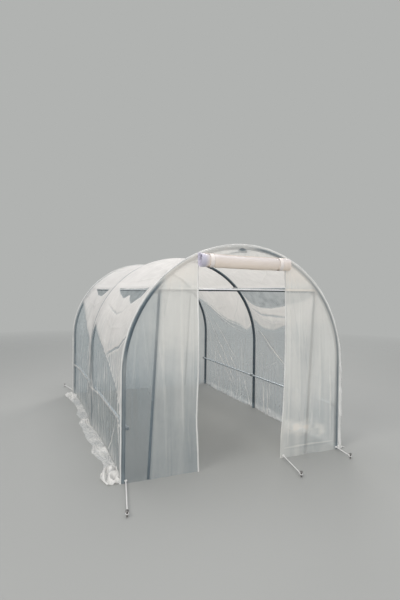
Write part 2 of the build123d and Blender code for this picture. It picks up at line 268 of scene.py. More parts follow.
def film_material(name, tint, painted_clear_shade, clearest, milkiest, gloss=0.3, glow=0.4, speckle=0.25, chalk_and_painted_light=None):
    """Polythene film. The piece's own milk attribute says where it is dusty and white, and also carries
    painted highlights and painted shade. Clear film gets a painted cool shade, darkest where it is washed
    clean; chalk is the colour of the thickest dust and of the brightest painted light."""
    s = new_material(name)
    place = s.place()
    cloud = s.noise(place, 2.6, 4.0, 0.55, 0.5)
    streak = s.noise(s.stretched((7.0, 7.0, 0.8)), 2.0, 3.0, 0.55)
    shade = s.math("ADD", s.math("MULTIPLY", cloud, 0.5), s.math("MULTIPLY", streak, 0.5))
    own_milk_and_painted_light = s.node("Attribute", {"attribute_name": "milk_and_painted_light"}).outputs["Fac"]
    milk_and_painted_light = s.math("ADD", s.remap(shade, 0.34, 0.66, -0.09, 0.09), own_milk_and_painted_light)
    opacity = s.remap(milk_and_painted_light, 0.0, 1.0, clearest, milkiest)
    # Washed-clear film turns more opaque, to carry its painted dark
    opacity = s.math("MAXIMUM", opacity, s.remap(milk_and_painted_light, 0.05, -0.35, clearest, 0.52))
    # Painted cool shade on clear film; milky film keeps its own tint
    colour = s.mix(s.remap(milk_and_painted_light, 0.15, 0.8), painted_clear_shade, tint)
    # Painted dark where the film is washed clean
    colour = s.mix(s.remap(milk_and_painted_light, -0.35, 0.14), [0.42 * part for part in painted_clear_shade], colour)
    # The thickest dust and the brightest painted light take the chalk colour
    colour = s.mix(s.remap(milk_and_painted_light, 0.95, 1.2), colour, chalk_and_painted_light or tint)
    dirty = s.remap(s.noise(place, 14.0, 6.0, 0.7), 0.62, 0.78, 0.0, speckle)
    colour = s.mix(dirty, colour, (tint[0] * 0.8, tint[1] * 0.77, tint[2] * 0.7))
    crinkle = s.bump(s.noise(s.stretched((1.0, 1.0, 0.5)), 20.0, 3.0, 0.5, 0.6), 0.14, 0.003)
    rough = s.remap(s.noise(place, 9.0, 4.0, 0.6), 0.3, 0.7, gloss * 0.75, gloss * 1.5)
    s.finish_film(colour, crinkle, rough, specular=0.32, glow=glow, opacity=opacity)


def rolled_material(name, top, painted_underside, painted_end_shade, cuff_from, cuff_to):
    """Many layers of film: nearly opaque, with painted light that is warm and bright on the underside and
    cooler and greyer on top; clearer at its open left end, which has a painted cool shade and passes into the
    rest between these two distances from it."""
    s = new_material(name)
    across = s.node("SeparateXYZ", Vector=s.place()).outputs["X"]
    # Painted light: warm and bright on what faces down, cooler and greyer on what faces up
    colour = s.mix(s.remap(s.facing_up(), -0.75, 0.85), painted_underside, top)
    layers = s.noise(s.stretched((1.5, 22.0, 22.0)), 3.0, 4.0, 0.6, 0.4)
    colour = s.mix(s.remap(layers, 0.4, 0.75, 0.0, 0.16), colour, (0.7, 0.66, 0.66))
    end = s.remap(across, roll_low.x + cuff_to, roll_low.x + cuff_from)
    # Painted cool shade in the roll's open end
    colour = s.mix(end, colour, painted_end_shade)
    crinkle = s.bump(s.noise(s.stretched((0.5, 1.0, 1.0)), 50.0, 4.0, 0.55, 0.8), 0.3, 0.003)
    opacity = s.math("SUBTRACT", s.remap(layers, 0.3, 0.7, 0.93, 0.99), s.math("MULTIPLY", end, 0.25))
    s.finish_film(colour, crinkle, 0.36, specular=0.5, glow=0.1, opacity=opacity)


def steel_material(name, colour, dark, painted_underside, roughness, spots=0.4, metallic=0.6):
    """Zinc-coated steel, dulled outdoors, with worn patches and stains; a painted shade where it faces down,
    while what faces up keeps the plain colour.
    """
    s = new_material(name)
    place = s.place()
    patch_noise = s.noise(place, 22.0, 4.0, 0.6)
    spangle = s.node("TexVoronoi", Vector=place, Scale=160.0).outputs["Distance"]
    wear = s.math("ADD", s.math("MULTIPLY", patch_noise, 0.8), s.math("MULTIPLY", spangle, 0.3))
    worn = s.remap(wear, 0.4, 0.75)
    stain = s.remap(s.noise(place, 7.0, 5.0, 0.7), 0.6, 0.72, 0.0, spots)
    metal = s.mix(stain, s.mix(worn, colour, dark), (0.2, 0.17, 0.13))
    # Painted shade on whatever faces down
    metal = s.mix(s.remap(s.facing_up(), 0.15, -0.15), metal, painted_underside)
    rough = s.remap(worn, 0.0, 1.0, roughness * 0.8, roughness * 1.3)
    bump = s.bump(s.noise(place, 240.0, 3.0, 0.6), 0.12, 0.0006)
    skin = s.node("BsdfPrincipled", Base_Color=metal, Roughness=rough, Metallic=metallic, Normal=bump)
    s.finish(skin.outputs[0])


def woven_material(name, colour, dark, scale):
    """Pale cord or tape with a woven surface."""
    s = new_material(name)
    place = s.place()
    bands = {"wave_type": "BANDS", "bands_direction": "DIAGONAL"}
    thread = s.node("TexWave", bands, Vector=place, Scale=scale, Distortion=1.5).outputs["Fac"]
    stain = s.noise(place, 18.0, 4.0, 0.6)
    shade = s.math("MULTIPLY", s.remap(thread, 0.0, 1.0, 0.6, 1.0), s.remap(stain, 0.3, 0.7, 0.75, 1.0))
    tone = s.mix(shade, dark, colour)
    bump = s.bump(thread, 0.5, 0.0012)
    s.finish(s.node("BsdfPrincipled", Base_Color=tone, Roughness=0.75, Normal=bump).outputs[0])


# Meshes


def new_piece(mesh, finish, node):
    """A piece of the object that rides on its one body, has this finish and stands for this CAD node."""
    piece = put(mesh.name, mesh)
    mesh.materials.append(finishes[finish])
    mesh.polygons.foreach_set("use_smooth", np.ones(len(mesh.polygons), bool))
    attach(piece, "root")
    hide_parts(node)
    return piece


def grid_faces(rows, columns, around=False):
    """The quads of a grid of points; around also joins its last row to its first."""
    index = np.arange(rows * columns).reshape(rows, columns)
    if around:
        index = np.vstack([index, index[:1]])
    corners = [index[:-1, :-1], index[1:, :-1], index[1:, 1:], index[:-1, 1:]]
    return np.stack(corners, axis=-1).reshape(-1, 4).tolist()


def grid_mesh(name, points, milk_and_painted_light):
    """A mesh over a grid of points, one quad a cell, and how milky its film is there, with painted highlights
    and painted shade in the same attribute.
    """
    rows, columns = points.shape[:2]
    mesh = bpy.data.meshes.new(name)
    mesh.from_pydata(points.reshape(-1, 3).tolist(), [], grid_faces(rows, columns))
    share = mesh.attributes.new("milk_and_painted_light", "FLOAT", "POINT")
    share.data.foreach_set("value", np.broadcast_to(milk_and_painted_light, (rows, columns)).ravel().astype(np.float32))
    mesh.update()
    return mesh


def joined_mesh(name, parts):
    """One mesh from several lists of points and faces."""
    points, faces = [], []
    for part_points, part_faces in parts:
        start = len(points)
        points += part_points
        faces += [[start + i for i in face] for face in part_faces]
    mesh = bpy.data.meshes.new(name)
    mesh.from_pydata(points, [], faces)
    mesh.update()
    return mesh


def places(x, y, z):
    """One array of points from their coordinates."""
    return np.stack(np.broadcast_arrays(x, y, z), axis=-1)


def closed_part(rings):
    """Points and faces of a tube from its grid of points, with a face over each end."""
    sides, count = rings.shape[:2]
    first = [i * count for i in range(sides)]
    last = [i * count + count - 1 for i in reversed(range(sides))]
    return rings.reshape(-1, 3).tolist(), grid_faces(sides, count, around=True) + [first, last]


def tube_part(line, radius, sides=24):
    """A round tube along a line of points, with closed ends."""
    ahead = np.gradient(line, axis=0)
    ahead /= np.linalg.norm(ahead, axis=1)[:, None]
    side = np.cross(ahead[0], (0.31, 0.77, 0.55))  # any way that no tube here runs
    turn = np.linspace(0, 2 * np.pi, sides, False)[:, None]
    rings = []
    for centre, along in zip(line, ahead):
        side = side - along * (side @ along)
        side /= np.linalg.norm(side)
        rings.append(centre + radius * (np.cos(turn) * side + np.sin(turn) * np.cross(along, side)))
    return closed_part(np.stack(rings, axis=1))


def band_part(line, across, width, thickness, sides):
    """A flat band with rounded edges along a line of points; across is the way of its width."""
    ahead = np.gradient(line, axis=0)
    across = np.broadcast_to(np.asarray(across, float), line.shape)
    through = np.cross(ahead, across)
    through /= np.linalg.norm(through, axis=1)[:, None]
    turn = np.linspace(0, 2 * np.pi, sides, False)
    flat = np.sign(np.cos(turn)) * np.abs(np.cos(turn)) ** 0.5
    width = np.broadcast_to(width, len(line))[:, None]
    rings = [line + across * width * a / 2 + through * thickness * b / 2 for a, b in zip(flat, np.sin(turn))]
    return closed_part(np.stack(rings))


def turned_part(profile, place):
    """A round piece on an upright axis, from pairs of radius and height."""
    turn = np.linspace(0, 2 * np.pi, 20, False)[:, None]
    radius, height = np.array(profile).T
    return closed_part(places(radius * np.cos(turn), radius * np.sin(turn), height) + np.asarray(place))


# Film forms


def near(distance, width, power=2):
    """1 on a line, and fading away over about this width beside it."""
    return np.exp(-((distance / width) ** power))


def eased(share):
    """From 0 to 1 with soft ends."""
    share = np.clip(share, 0, 1)
    return share * share * (3 - 2 * share)


def field(u, v, size_u, size_v, seed):
    """Smooth noise between -1 and 1 with bumps of about these sizes."""
    random = np.random.default_rng(seed)
    table = random.uniform(-1, 1, (64, 64))
    a, b = u / size_u + 1000.0, v / size_v + 1000.0
    i, j = np.floor(a).astype(int), np.floor(b).astype(int)
    p, q = eased(a - i), eased(b - j)
    corner = lambda m, n: table[(i + m) % 64, (j + n) % 64]
    low = corner(0, 0) * (1 - p) + corner(1, 0) * p
    high = corner(0, 1) * (1 - p) + corner(1, 1) * p
    return low * (1 - q) + high * q


def wander(u, size, seed):
    """The same along one line."""
    return field(u, 0 * u, size, 1.0, seed)


def traced(u, v, line):
    """How far each place lies off a line of points, and how far along the line that is, from 0 to 1."""
    line = np.asarray(line, float)
    lengths = np.hypot(*np.diff(line, axis=0).T)
    off, along = np.full(u.shape, np.inf), np.zeros(u.shape)
    done = 0.0
    for (u0, v0), (u1, v1), length in zip(line[:-1], line[1:], lengths):
        share = np.clip(((u - u0) * (u1 - u0) + (v - v0) * (v1 - v0)) / length**2, 0, 1)
        gap = np.hypot(u - u0 - share * (u1 - u0), v - v0 - share * (v1 - v0))
        along = np.where(gap < off, (done + share * length) / lengths.sum(), along)
        off = np.minimum(off, gap)
        done += length
    return off, along


def creases(u, v, folds):
    """How high folds lift the film and how much painted highlight and painted shade they add, each from its
    width, height, painted light and line. They are sharp along their crest and thin out at both ends."""
    lift, milk_and_painted_light = np.zeros(u.shape), np.zeros(u.shape)
    for width, height, painted_fold_light, *line in folds:
        off, along = traced(u, v, line)
        body = np.clip(np.sin(np.pi * along), 0, 1)
        reach = width * (0.45 + 0.55 * body**0.6)
        lift += height * body**0.6 * (np.exp(-off / reach) - 0.35 * np.exp(-off / (2.6 * reach)))
        # Painted highlight along the crest with a band of painted shade beside it; a negative value paints a
        # dark fold shadow instead
        milk_and_painted_light += painted_fold_light * body**0.7 * (near(off, 0.75 * width) - 0.25 * near(off - 2.2 * width, width))
    return lift, milk_and_painted_light


def span(values):
    return values.min(), values.max()


def scattered_folds(u_span, v_span, count, seed, lengths, widths, heights, lean, spread, bend=0.1, painted_fold_light=0.0):
    """Folds of random place and size that lean about one way, some of them with a painted highlight and some
    with painted shade along their crest.
    """
    random = np.random.default_rng(seed)
    folds = []
    for _ in range(count):
        u, v = random.uniform(*u_span), random.uniform(*v_span)
        turn, half = lean + random.normal(0.0, spread), random.uniform(*lengths) / 2
        du, dv, aside = half * math.cos(turn), half * math.sin(turn), random.normal(0.0, bend)
        line = (u - du, v - dv), (u - aside * dv, v + aside * du), (u + du, v + dv)
        height = random.uniform(*heights) * random.choice((-1.0, 1.0))
        width = random.uniform(*widths)
        folds.append((width, height, painted_fold_light * random.uniform(-0.6, 1.0) if painted_fold_light else 0.0, *line))
    return folds


def patch(u, v, centre, size, turn=0.0):
    """1 in the middle of an oval with a soft edge, 0 outside it."""
    du, dv = u - centre[0], v - centre[1]
    c, s = math.cos(turn), math.sin(turn)
    return eased(2.0 - 1.6 * np.hypot((du * c + dv * s) / size[0], (dv * c - du * s) / size[1]))


def ridges(height, step):
    """How sharply the film stands up at each point, about -1 to 1: ridges are positive."""
    padded = np.pad(height, 1, mode="edge")
    around = padded[2:, 1:-1] + padded[:-2, 1:-1] + padded[1:-1, 2:] + padded[1:-1, :-2]
    return np.tanh((height - around / 4) / (step * 0.04))


def skin_frame(s):
    """The outward direction on the cover, and the height below its spring line, for places s round it."""
    bend = np.clip(s, -spring_s, spring_s) / skin_radius
    return places(np.sin(bend), 0, np.cos(bend)), np.clip(np.abs(s) - spring_s, 0, None)


def skin_points(s, y, lift):
    """Points on the cover: s runs from the middle of the crown down to the ground, positive to the right."""
    outward, down = skin_frame(s)
    return outward * (skin_radius + lift)[..., None] + places(0, y, leg_height - down)


def hoop_distance(y):
    return np.minimum.reduce([np.abs(y - place) for place in hoop_stations.values()])


def sunk(y):
    """How far slack film sinks between the hoops, until it lies on the rails."""
    return rail_room * (1 - (1 - np.clip(hoop_distance(y) / (bay / 3), 0, 1)) ** 2)


# Cover, in three sheets

# Folds of the cover: width, height, painted highlight (painted shade where negative), and a line of places
# down from the crown and along the tunnel
roof_folds = [
    (0.014, 0.008, 0.0, (-0.76, -0.1), (-0.74, -0.7), (-0.7, -1.36)),
    (0.01, 0.006, 0.0, (-0.79, -0.15), (-0.785, -0.8), (-0.77, -1.42)),
    (0.024, 0.006, 0.0, (-0.1, -1.4), (-0.42, -0.8), (-0.66, -0.2)),
    (0.022, 0.006, 0.0, (-0.25, 0.15), (-0.5, 0.75), (-0.7, 1.3)),
    (0.02, 0.006, 0.0, (0.1, -1.45), (0.4, -0.8), (0.62, -0.2)),
    (0.016, 0.006, 0.0, (0.35, -1.3), (0.6, -1.0), (0.75, -0.7)),
    (0.014, 0.008, 0.0, (0.5, -0.24), (0.62, -0.28), (0.7, -0.44)),
    (0.014, 0.008, 0.0, (0.62, -0.46), (0.72, -0.68), (0.78, -0.88)),
    (0.014, 0.008, 0.0, (0.55, -0.08), (0.66, -0.19), (0.74, -0.31)),
    (0.02, 0.006, 0.0, (0.2, 0.2), (0.45, 0.7), (0.7, 1.1)),
]
left_fold = (
    (1.3, -0.05), (1.35, -0.12), (1.42, -0.24), (1.48, -0.38), (1.57, -0.62), (1.68, -0.89), (1.93, -1.5),
)
left_hem = (
    (1.57, -0.62), (1.53, -0.74), (1.5, -0.86), (1.46, -0.99), (1.43, -1.14), (1.38, -1.25), (1.3, -1.5),
)
rear_fold = ((1.12, 1.46), (1.18, 1.33), (1.29, 1.02), (1.43, 0.62), (1.54, 0.36), (1.8, 0.08))
wall_folds = {}
wall_folds["left"] = [
    (0.014, 0.014, 0.15, *left_fold),
    (0.01, -0.016, -0.7, *left_hem),
    (0.014, 0.014, 0.15, *rear_fold),
    (0.016, -0.008, -0.25, (1.06, -0.16), (1.12, -0.42), (1.15, -0.65), (1.12, -0.82), (1.05, -0.92)),
    (0.02, 0.007, 0.0, (1.2, -0.3), (1.3, -0.6), (1.26, -1.0), (1.18, -1.3)),
    (0.018, 0.008, 0.0, (0.98, 0.25), (1.12, 0.7), (1.06, 1.25)),
    (0.012, 0.012, 0.45, (1.62, -0.05), (1.95, -0.07), (2.34, -0.1)),
    (0.014, 0.01, 0.3, (1.66, -1.46), (2.0, -1.44), (2.36, -1.42)),
    (0.012, 0.012, 0.5, (1.5, 0.06), (1.95, 0.08), (2.36, 0.07)),
    (0.014, 0.01, 0.5, (1.95, -1.2), (2.14, -1.11), (2.26, -1.02), (2.4, -0.85)),
]
wall_folds["right"] = [
    (0.012, 0.016, 0.8, (1.38, -0.03), (1.47, -0.22), (1.56, -0.38), (1.67, -0.56), (1.8, -0.8)),
    (0.012, -0.01, 0.0, (1.05, -0.04), (1.09, -0.3), (1.1, -0.6), (1.06, -0.95)),
    (0.016, -0.012, -0.45, (1.14, -0.1), (1.2, -0.34), (1.2, -0.61), (1.21, -0.9)),
    (0.012, 0.014, 0.35, (1.06, 1.44), (1.14, 1.1), (1.3, 0.78), (1.36, 0.55), (1.4, 0.3), (1.46, 0.12)),
    (0.012, 0.012, 0.5, (1.16, 1.2), (1.24, 1.02), (1.32, 0.79), (1.42, 0.51), (1.48, 0.18)),
    (0.011, 0.014, 0.75, (1.06, 1.46), (1.27, 1.41), (1.51, 1.18), (1.69, 0.99), (1.8, 0.8)),
    (0.011, 0.012, 0.65, (1.08, 1.4), (1.31, 1.14), (1.57, 0.85), (1.79, 0.55), (1.92, 0.36)),
    (0.011, 0.01, 0.6, (1.12, 1.46), (1.36, 1.42), (1.66, 1.32), (2.05, 1.2)),
    (0.01, 0.012, 0.75, (1.7, 1.18), (1.76, 1.11), (1.95, 0.88), (2.25, 0.52)),
    (0.01, 0.012, 0.7, (1.66, 0.95), (1.73, 0.89), (1.9, 0.74), (2.25, 0.46)),
    (0.01, 0.01, 0.55, (1.74, 0.71), (1.9, 0.56), (2.15, 0.33)),
    (0.018, 0.008, 0.0, (1.22, -0.1), (1.3, -0.5), (1.26, -0.95)),
    (0.014, 0.01, 0.35, (1.45, -0.8), (1.7, -1.0), (1.95, -1.2)),
]

# How far down the film of a wall is white, at places along the tunnel
white_edges = {
    "left": (
        (-1.54, -1.38, -1.25, -1.14, -0.99, -0.86, -0.74, -0.62, -0.38,
         -0.24, -0.12, -0.03, 0.03, 0.1, 0.36, 0.62, 1.02, 1.54),
        (1.28, 1.35, 1.38, 1.43, 1.46, 1.5, 1.53, 1.57, 1.48,
         1.42, 1.35, 1.28, 1.85, 1.78, 1.54, 1.43, 1.29, 1.08),
    ),
    "right": (
        (-1.54, -0.9, -0.76, -0.5, -0.3, -0.14, -0.06, 0.0, 0.16, 0.3, 0.55, 0.78, 1.1, 1.42, 1.54),
        (1.24, 1.28, 1.31, 1.4, 1.39, 1.35, 1.28, 1.34, 1.45, 1.39, 1.35, 1.3, 1.14, 1.04, 1.02),
    ),
}
# How far below the purlin the film is washed clear, at places along the tunnel
clear_depths = {
    "left": (
        (-1.34, -1.24, -1.12, -1.02, -0.86, -0.77, -0.72, -0.63, -0.35,
         -0.14, 0.0, 0.38, 0.5, 0.61, 0.91, 1.26, 1.36),
        (0.0, 0.13, 0.16, 0.205, 0.16, 0.09, 0.13, 0.155, 0.095,
         0.0, 0.0, 0.0, 0.12, 0.145, 0.125, 0.04, 0.0),
    ),
    "right": (
        (-1.54, -1.3, -0.88, -0.63, -0.4, -0.16, -0.03, 0.03, 0.5, 0.8, 1.1),
        (0.05, 0.16, 0.235, 0.27, 0.275, 0.25, 0.18, 0.0, 0.0, 0.05, 0.0),
    ),
}

# How wide the marks on the film are
roof_hoop_line = 0.013
wall_hoop_line = 0.011
hoop_highlight = 0.034
roof_seam_white = 0.03
wall_seam_white = 0.022
rail_dust_and_highlight = 0.01


def at_place(y, line):
    """A level at places along the tunnel, with its corners rounded."""
    return sum(np.interp(y + shift, *line) for shift in (-0.045, -0.022, 0.0, 0.022, 0.045)) / 5


def upright_folds(count, seed, painted_fold_light):
    """Folds of many lengths that run down a wall between its rails and the ground."""
    random = np.random.default_rng(seed)
    folds = []
    for _ in range(count):
        top = random.uniform(1.45, 2.2)
        foot = min(top + random.uniform(0.2, 0.75), 2.46)
        y, drift, bend = random.uniform(-1.5, 1.5), random.normal(0.0, 0.035), random.normal(0.0, 0.01)
        height = random.uniform(0.003, 0.01) * random.choice((-1.0, 1.0, 1.0))
        line = ((top, y - drift), ((top + foot) / 2, y + bend), (foot, y + drift))
        width, share = random.uniform(0.008, 0.02), random.uniform(0.0, painted_fold_light)
        # Raised folds get a painted highlight, sunk ones a painted shade
        folds.append((width, height, share * (1 if height > 0 else -0.6), *line))
    return folds


def on_frame(lift, s):
    """The film's height, with nothing of it inside the rails."""
    rail_distance = np.minimum.reduce([np.abs(np.abs(s) - place) for place in (0.0, seam_s, rail_s)])
    return np.maximum(lift, -rail_room - (deepest_sag - rail_room) * eased((rail_distance - 0.015) / 0.12))


def roof_form(s, y):
    """How high the roof film lies off the skin, and where it is white, with painted highlights and shade on
    its ridges.
    """
    beside = hoop_distance(y)
    in_bay = eased(beside / (0.35 * bay))
    loose = eased(beside / 0.1) * eased((seam_s - np.abs(s)) / 0.06)
    small = scattered_folds(
        span(s), span(y), 26, 13, (0.2, 0.7), (0.012, 0.03), (0.001, 0.004), math.pi / 2, 0.6
    )
    folds, _ = creases(s, y, roof_folds + small)
    lift = loose * (folds + 0.004 * field(s, y, 0.22, 0.3, 12) + 0.0016 * field(s, y, 0.09, 0.13, 15))
    # Painted highlight on ridges and painted shade in hollows
    milk_and_painted_light = 0.94 + 0.05 * field(s, y, 0.45, 0.5, 14) + 0.05 * ridges(lift, cover_step)
    # The hoops show as dark lines, but for the crown; a whiter line lies along the seams
    milk_and_painted_light -= 0.95 * eased((np.abs(s) - 0.38) / 0.25) * near(beside, roof_hoop_line)
    milk_and_painted_light += 0.3 * near(seam_s - np.abs(s), roof_seam_white)
    # One place is washed clear
    milk_and_painted_light -= 0.7 * patch(s, y, (0.16, 1.28), (0.1, 0.07), 0.3)
    bag = 0.01 * np.sin(np.pi * np.abs(s) / seam_s) * in_bay
    return on_frame(lift - sunk(y) - bag, s), milk_and_painted_light


def wall_form(name, side, s, y):
    """The same for a wall: a swag of milky film over clearer film that hangs in folds to the ground."""
    left = side < 0
    drop = np.abs(s)
    beside = hoop_distance(y)
    in_bay = eased(beside / (0.35 * bay))
    loose = eased(beside / 0.07) * eased((drop - seam_s) / 0.05) * eased((ground_s - drop) / 0.03)
    above = at_place(y, white_edges[name]) + 0.008 * wander(y, 0.22, 55 + side) - drop
    low = eased((drop - 1.45) / 0.5)
    hanging = upright_folds(90, 61 + side, 0.6 if left else 0.4)
    folds, streaks = creases(drop, y, wall_folds[name] + hanging)
    crumpled = scattered_folds(
        (1.0, 2.3), (-1.5, 1.5), 70, 41 + side, (0.1, 0.44), (0.007, 0.018), (0.002, 0.007),
        0.5 * side + 0.6, 0.5, 0.15, 0.22,
    )
    small, specks = creases(drop, y, crumpled)
    # The swag bags out just above its edge and turns in sharply along it
    bagged = np.clip(above / 0.05, 0, None)
    lift = 0.01 * in_bay * bagged * np.exp(1 - bagged) + folds + small
    lift += 0.005 * field(drop, y, 0.2, 0.22, 31 + side) + 0.0018 * field(drop, y, 0.08, 0.09, 35 + side)
    lift += 0.003 * low * field(drop, y, 0.7, 0.06, 65 + side)
    lift *= loose
    # Clearer film below, clearer still on the right, where the clear film's painted shade darkens it, and on
    # the left more dust under the fold that ends at the door
    shade = (0.21 if left else 0.13) + 0.1 * low + 0.08 * field(drop, y, 0.3, 0.12, 57 + side)
    shade += 0.1 * low * field(drop, y, 0.8, 0.04, 59)
    if left:
        fold_drop = np.interp(y, *np.array(left_fold[::-1]).T[::-1])
        shade += (0.64 - shade) * eased(0.5 + (fold_drop - drop) / 0.03) * (y < -0.5)
    # Milky film above, and on both walls painted highlights and painted shade along folds and ridges
    swag = eased(0.5 + above / 0.06)
    swag_milk = 0.76 + 0.14 * eased(above / 0.35) + 0.07 * field(drop, y, 0.25, 0.3, 51 + side)
    milk_and_painted_light = shade + (swag_milk - shade) * swag
    marks = streaks * (1.0 if left else 1.4) + specks * (1 - 0.5 * swag)
    milk_and_painted_light += loose * marks + 0.1 * ridges(lift, cover_step) * (1 - 0.5 * swag)
    milk_and_painted_light += 0.2 * eased(1 - (ground_s - drop) / 0.15)
    # Film washed clear under the purlin, with a whiter line on the seam and, on the left, dust and a painted
    # highlight along the rail
    depth, below = at_place(y, clear_depths[name]), drop - seam_s
    clear = eased(0.5 + (depth - below) / 0.024) * eased((below - 0.028) / 0.02) * (depth > 0.03)
    milk_and_painted_light -= (1.06 + 0.16 * field(drop, y, 0.05, 0.07, 53 + side)) * clear
    milk_and_painted_light += 0.3 * near(below, wall_seam_white) + 0.55 * near(drop - rail_s, rail_dust_and_highlight) * left
    # A painted highlight on both sides of each hoop, and the hoop showing through between them as a dark line
    milk_and_painted_light += (0.92 - milk_and_painted_light) * 0.75 * near(beside, hoop_highlight, 4)
    milk_and_painted_light -= (0.42 + 0.3 * swag) * near(beside, wall_hoop_line)
    bag = 0.022 * np.sin(np.pi * np.clip(below / (rail_s - seam_s), 0, 1)) * in_bay
    return on_frame(lift - sunk(y) - bag, s), milk_and_painted_light


def make_cover():
    stretches = {"roof": (-seam_s, seam_s), "left": (-seam_s, -ground_s), "right": (seam_s, ground_s)}
    for name, (s_from, s_to) in stretches.items():
        s_count, y_count = (int(round(long / cover_step)) + 1 for long in (abs(s_to - s_from), 2 * cover_end))
        s, y = np.linspace(s_from, s_to, s_count), np.linspace(-cover_end, cover_end, y_count)
        s, y = np.meshgrid(s, y, indexing="ij")
        if name == "roof":
            lift, milk_and_painted_light = roof_form(s, y)
            title, node, rests = "roof_film", "roof_sheet", "ridge_tube"
        else:
            lift, milk_and_painted_light = wall_form(name, side_signs[name], s, y)
            title, node, rests = f"{name}_wall_film", f"{name}_wall_sheet", f"{name}_side_rail"
        points = skin_points(s, y, lift)
        points[..., 2] = np.maximum(points[..., 2], 0.0)
        piece = new_piece(grid_mesh(title, points, milk_and_painted_light), "cover_film", node)


# Hoops


def make_hoops():
    for place, y in hoop_stations.items():
        for side_name, side in side_signs.items():
            leg = places(side * hoop_radius, y, np.linspace(0, leg_height, 12)[:-1])
            t = np.linspace(0, math.pi / 2, 46)
            bend = places(side * hoop_radius * np.cos(t), y, leg_height + hoop_radius * np.sin(t))
            tube = tube_part(np.vstack([leg, bend]), tube_radius)
            mesh = joined_mesh(f"{place}_{side_name}_hoop_tube", [tube])
            new_piece(mesh, "hoop_steel", f"{place}_hoop_{side_name}_half")


# Ends

# Folds of the end films: the same, with places across the end and up
panel_folds = {
    "left": [
        (0.012, 0.005, 0.1, (-0.9, 1.22), (-0.94, 0.7), (-0.93, 0.2)),
        (0.016, 0.004, 0.0, (-0.7, 1.4), (-0.69, 0.8), (-0.66, 0.1)),
        (0.016, 0.005, 0.08, (-0.55, 1.55), (-0.54, 0.9), (-0.52, 0.2)),
        (0.012, 0.004, 0.0, (-0.46, 1.62), (-0.45, 1.1), (-0.44, 0.6)),
    ],
    "right": [
        (0.012, 0.005, 0.1, (0.46, 1.6), (0.47, 0.85), (0.46, 0.1)),
        (0.016, 0.004, 0.0, (0.56, 1.45), (0.57, 0.8), (0.6, 0.16)),
        (0.014, 0.005, 0.06, (0.78, 1.2), (0.8, 0.7), (0.8, 0.3)),
        (0.012, 0.006, 0.1, (0.9, 0.9), (0.92, 0.5), (0.92, 0.08)),
        (0.04, 0.009, 0.1, (0.44, 0.27), (0.56, 0.21), (0.7, 0.2)),
        (0.008, 0.004, 0.2, (0.42, 0.085), (0.7, 0.088), (0.98, 0.085)),
    ],
    "top": [
        (0.006, 0.003, 0.4, (-0.24, 1.78), (-0.13, 1.799), (-0.03, 1.803)),
        (0.008, 0.005, 0.0, (0.08, 1.8), (0.2, 1.775), (0.3, 1.74)),
        (0.012, 0.004, 0.0, (-0.2, 1.75), (-0.02, 1.7), (0.1, 1.68)),
    ],
    "rear": [
        (0.02, 0.006, 0.05, (-0.6, 1.5), (-0.55, 0.9), (-0.5, 0.2)),
        (0.02, 0.006, 0.05, (0.5, 1.5), (0.54, 0.8), (0.62, 0.15)),
        (0.024, 0.006, 0.05, (-0.05, 1.6), (0.02, 1.0), (0.0, 0.25)),
    ],
}


def arch_top(x):
    """Height of the cover over this place across the tunnel."""
    return leg_height + np.sqrt(np.clip(skin_radius**2 - x**2, 0, None))


def jamb_line(side, z):
    """Where the doorway's edge hangs at a height: bowed a little, then drawn in at the foot."""
    bow = 0.018 * np.sin(np.pi * np.clip((z - 0.35) / 1.3, 0, 1)) if side > 0 else 0.006 * np.sin(5 * z)
    return side * (jamb + bow - 0.016 * eased((0.5 - z) / 0.45))


def leaning(node):
    """How far across the tunnel the middle of a leaning tube stands, at a height."""
    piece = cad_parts[node]
    across, _, up = np.array([piece.matrix_world @ vertex.co for vertex in piece.data.vertices]).T
    low, high = span(up)
    foot, top = across[up < low + 0.05].mean(), across[up > high - 0.05].mean()
    return lambda z: foot + (top - foot) * (z - low) / (high - low)


def panel_milk_and_painted_light(kind, x, z, seed):
    """Where an end film is white: paler towards the doorway, with a painted cool shade beside the hoop,
    whiter high up; the same values carry painted highlights and painted shade.
    """
    milk_and_painted_light = 0.56 + 0.24 * eased(z / 1.2)
    milk_and_painted_light += 0.08 * field(x, z, 0.08, 0.9, seed + 3) + 0.05 * field(x, z, 0.3, 0.3, seed + 4)
    if kind in side_signs:
        # The upright is painted on the film as a line: painted shade on the left, paler on the right
        off = (x - leaning(f"front_{kind}_upright")(z)) * side_signs[kind]
        milk_and_painted_light += 0.3 * eased((z - 1.38) / 0.24)
        milk_and_painted_light -= (0.26 if kind == "left" else -0.12) * near(off, 0.014) * (z < crossbar_height)
    if kind == "left":
        # Painted cool shade between the upright and the hoop, and clearer film low down
        milk_and_painted_light -= 0.32 * eased((off + 0.01) / 0.04) * eased((1.55 - z) / 0.25) + 0.2 * eased((1.25 - z) / 0.6)
    if kind == "right":
        # Painted sunlight low down, and a painted highlight along the crossbar's top with its painted shadow
        # below
        sunlit = near(x - 0.6, 0.15) * near(z - 0.28 + 0.12 * (x - 0.4), 0.05)
        sunlit += 0.8 * near(x - 0.8, 0.05) * near(z - 0.2, 0.04)
        milk_and_painted_light += 0.14 * eased((0.52 - x) / 0.18) + 0.06
        milk_and_painted_light += sunlit * (0.52 + 0.45 * field(x, z, 0.06, 0.035, seed + 6))
        over = z - crossbar_height - 0.006
        milk_and_painted_light += (0.45 * near(over, 0.008) - 0.3 * near(over + 0.018, 0.006)) * (x < 0.73)
    if kind == "top":
        milk_and_painted_light -= 0.5 * patch(x, z, (-0.012, 1.803), (0.03, 0.012))
    if kind == "rear":
        milk_and_painted_light -= 0.3 - 0.16 * field(x, z, 0.35, 0.5, seed + 5)
    return milk_and_painted_light


